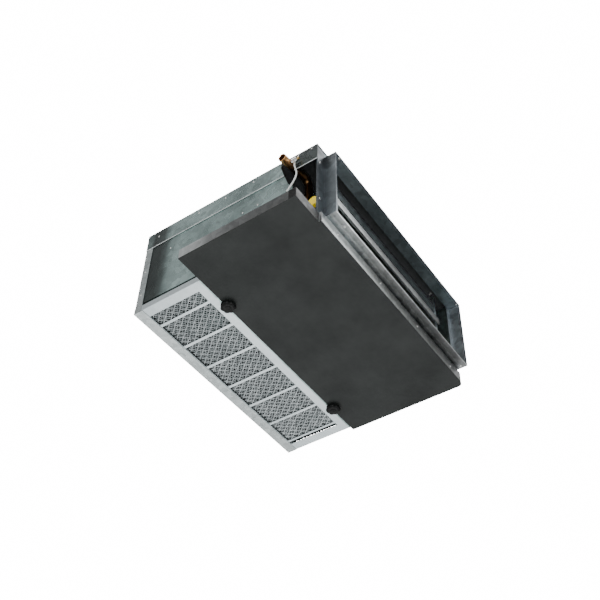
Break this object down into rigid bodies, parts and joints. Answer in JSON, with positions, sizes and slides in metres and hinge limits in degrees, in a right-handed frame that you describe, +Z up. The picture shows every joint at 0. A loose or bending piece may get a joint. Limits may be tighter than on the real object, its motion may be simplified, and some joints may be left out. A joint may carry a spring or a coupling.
{
  "type": "fan coil unit",
  "caption": "Concealed ceiling fan coil unit: galvanised case with a discharge collar, black-bottomed drain tray on hand knobs, sliding return filter, coil and twin blowers.",
  "frame": {"origin": "on the upper face of the top cover, halfway along the bottom tray and halfway between the collar's edge and the return end", "axes": "+X along the unit away from the pipe end, +Y from the discharge collar towards the return end, +Z up"},
  "size_m": [0.7893, 0.58, 0.3303],
  "materials": {
    "galvanised": "galvanised, light spangle",
    "thick_steel": "galvanised",
    "coated": "matt black",
    "aluminium": "satin",
    "mesh": "expanded mesh",
    "fins": "bare fins",
    "wheel": "galvanised",
    "zinc": "zinc plated",
    "bright_steel": "ground",
    "copper": "bare copper",
    "brass": "bare brass",
    "yellow_plastic": "moulded",
    "black_plastic": "moulded",
    "black_paint": "satin black",
    "rubber": "matt",
    "foam": "closed-cell foam",
    "hose": "translucent white"
  },
  "bodies": {
    "root": {"air_vent": "zinc", "bay_filler": "galvanised", "blower_housing_left": "galvanised", "blower_housing_right": "galvanised", "cable_gland": "black_plastic", "cap_supply": "yellow_plastic", "coil_brace": "galvanised", "coil_core": "fins", "coil_end_plate_left": "galvanised", "coil_end_plate_right": "galvanised", "coil_rail": "galvanised", "collar_bottom": "galvanised", "collar_left": "galvanised", "collar_right": "galvanised", "collar_top": "galvanised", "cover_foam": "foam", "cross_rail": "galvanised", "fan_bulkhead": "galvanised", "fan_motor": "black_paint", "filter_guide": "galvanised", "frame_bottom": "galvanised", "frame_left": "galvanised", "frame_right": "galvanised", "frame_top": "galvanised", "hanger_lug_left_front": "thick_steel", "hanger_lug_left_rear": "thick_steel", "hanger_lug_right_front": "thick_steel", "hanger_lug_right_rear": "thick_steel", "header_return": "copper", "header_supply": "copper", "motor_ring_left": "rubber", "motor_ring_right": "rubber", "motor_saddle": "galvanised", "nut_supply": "brass", "pipe_return": "copper", "pipe_supply": "copper", "plate_screw_lower": "zinc", "plate_screw_upper": "zinc", "rail_nut_left": "zinc", "rail_nut_right": "zinc", "return_panel": "galvanised", "side_panel_left": "galvanised", "side_panel_right": "galvanised", "terminal_box": "galvanised", "terminal_lid": "galvanised", "top_cover": "galvanised", "vent_hose": "hose"},
    "tray": {"drain_tray": "galvanised", "tray_underside": "coated", "drain_socket": "galvanised"},
    "knob_left": {"knob_left": "black_plastic"},
    "knob_right": {"knob_right": "black_plastic"},
    "fan_rotor": {"fan_shaft": "bright_steel", "blower_wheel_left": "wheel", "blower_wheel_right": "wheel"},
    "filter": {"filter_frame": "aluminium", "filter_mesh": "mesh"},
    "vent_screw": {"air_vent_screw": "brass"}
  },
  "joints": [
    {"name": "tray_swing", "type": "hinge", "parent": "root", "child": "tray", "pos_m": [0, -0.264, -0.267], "axis": [-1, 0, 0], "range_deg": [0, 70]},
    {"name": "knob_left_turn", "type": "hinge", "parent": "tray", "child": "knob_left", "pos_m": [-0.197, 0.068, -0.303], "axis": [0, 0, 1], "range_deg": [0, 720]},
    {"name": "knob_right_turn", "type": "hinge", "parent": "tray", "child": "knob_right", "pos_m": [0.267, 0.068, -0.303], "axis": [0, 0, 1], "range_deg": [0, 720]},
    {"name": "fan_spin", "type": "hinge", "parent": "root", "child": "fan_rotor", "pos_m": [0.0395, -0.021, -0.138], "axis": [1, 0, 0], "continuous": true},
    {"name": "filter_slide", "type": "slide", "parent": "root", "child": "filter", "axis": [1, 0, 0], "range_m": [0, 0.6]},
    {"name": "vent_screw_turn", "type": "hinge", "parent": "root", "child": "vent_screw", "pos_m": [-0.302, -0.202, -0.032], "axis": [0, 1, 0], "range_deg": [0, 360]}
  ]
}
